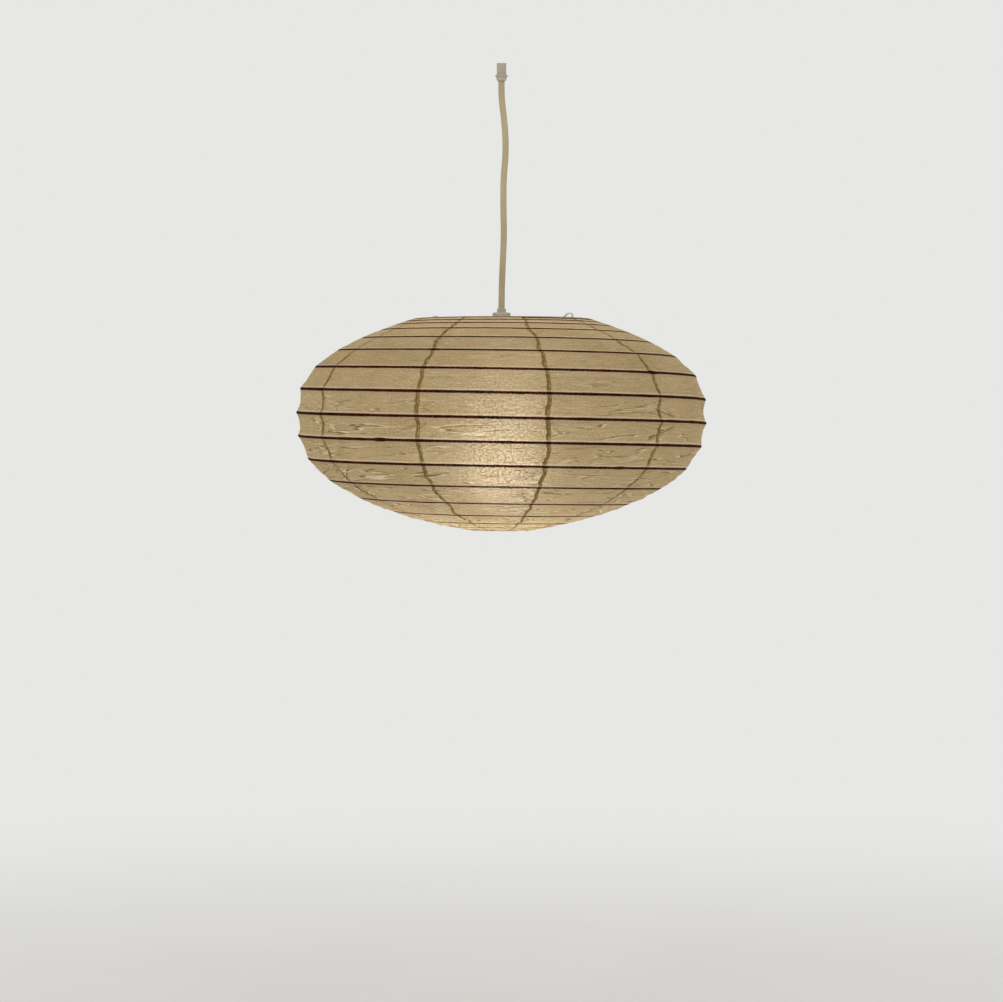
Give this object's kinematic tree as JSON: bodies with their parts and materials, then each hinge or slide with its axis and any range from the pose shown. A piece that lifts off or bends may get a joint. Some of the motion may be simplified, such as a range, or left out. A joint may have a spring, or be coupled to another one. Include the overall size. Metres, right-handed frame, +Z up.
{
  "type": "paper lantern",
  "caption": "Saucer-shaped pendant lantern of cream paper on a spiral of dark split bamboo, lit by a bulb inside, hung on a flat flex.",
  "frame": {"origin": "centre of the gland on the ceiling plane, where the flex leaves the ceiling", "axes": "+Z up along the gland's threaded stub into the ceiling, the lantern hangs along -Z, its front faces -Y, +X to the right seen from the front"},
  "size_m": [0.4176, 0.4198, 0.4774],
  "materials": {
    "paper": "matte",
    "bamboo": "satin",
    "rim_wire": "satin",
    "expander_steel": "gloss",
    "washer_steel": "satin",
    "holder_plastic": "satin",
    "contact_brass": "satin",
    "solder": "satin",
    "black_glass": "gloss",
    "cap_aluminium": "satin",
    "frosted_glass": "frosted",
    "gland_plastic": "satin",
    "bush_rubber": "matte",
    "flex_sheath": "satin"
  },
  "bodies": {
    "ceiling_fitting": {"gland_body": "gland_plastic", "gland_bush": "bush_rubber", "gland_cap": "gland_plastic", "flex_fixed": "flex_sheath"},
    "flex_swing": {"flex_bend": "flex_sheath"},
    "pendant": {"flex": "flex_sheath", "cord_grip": "holder_plastic", "holder_cap": "holder_plastic", "holder_body": "holder_plastic", "screw_shell": "contact_brass", "centre_contact": "contact_brass"},
    "shade_seat": {"shade_washer": "washer_steel"},
    "shade": {"expander_ring": "expander_steel", "expander_wire_1": "expander_steel", "expander_wire_2": "expander_steel", "top_ring": "rim_wire", "bottom_ring": "rim_wire", "paper_gore_01": "paper", "paper_gore_02": "paper", "paper_gore_03": "paper", "paper_gore_04": "paper", "paper_gore_05": "paper", "paper_gore_06": "paper", "paper_gore_07": "paper", "paper_gore_08": "paper", "paper_gore_09": "paper", "paper_gore_10": "paper", "bamboo_strip_01": "bamboo", "bamboo_strip_02": "bamboo", "bamboo_strip_03": "bamboo", "bamboo_strip_04": "bamboo", "bamboo_strip_05": "bamboo", "bamboo_strip_06": "bamboo", "bamboo_strip_07": "bamboo", "bamboo_strip_08": "bamboo", "bamboo_strip_09": "bamboo", "bamboo_strip_10": "bamboo", "bamboo_strip_11": "bamboo", "bamboo_strip_12": "bamboo", "bamboo_strip_13": "bamboo", "bamboo_strip_14": "bamboo", "bamboo_strip_15": "bamboo"},
    "shade_ring": {"shade_ring": "holder_plastic"},
    "bulb_travel": {"bulb_tip": "solder"},
    "bulb": {"bulb_insulator": "black_glass", "bulb_cap": "cap_aluminium", "bulb_glass": "frosted_glass"}
  },
  "joints": [
    {"name": "swing_front_back", "type": "hinge", "parent": "ceiling_fitting", "child": "flex_swing", "pos_m": [0, 0, -0.0081], "axis": [1, 0, 0], "range_deg": [-35, 35]},
    {"name": "swing_side", "type": "hinge", "parent": "flex_swing", "child": "pendant", "pos_m": [0, 0, -0.024], "axis": [0, 1, 0], "range_deg": [-35, 35]},
    {"name": "shade_drop", "type": "slide", "parent": "pendant", "child": "shade_seat", "axis": [0, 0, -1], "range_m": [0, 0.0275]},
    {"name": "ring_turn", "type": "hinge", "parent": "shade_seat", "child": "shade_ring", "pos_m": [0, 0, -0.289], "axis": [0, 0, -1], "range_deg": [0, 3962]},
    {"name": "shade_swivel", "type": "hinge", "parent": "shade_seat", "child": "shade", "pos_m": [0, 0, -0.2885], "axis": [0, 0, 1], "continuous": true},
    {"name": "bulb_drop", "type": "slide", "parent": "pendant", "child": "bulb_travel", "axis": [0, 0, -1], "range_m": [0, 0.01453]},
    {"name": "bulb_turn", "type": "hinge", "parent": "bulb_travel", "child": "bulb", "pos_m": [0, 0, -0.296], "axis": [0, 0, -1], "range_deg": [0, 1440]}
  ],
  "couplings": [
    {"joint": "ring_turn", "follows": "shade_drop", "rad_per_m": 2513.3},
    {"joint": "bulb_drop", "follows": "bulb_turn", "m_per_rad": 0.00057773}
  ]
}
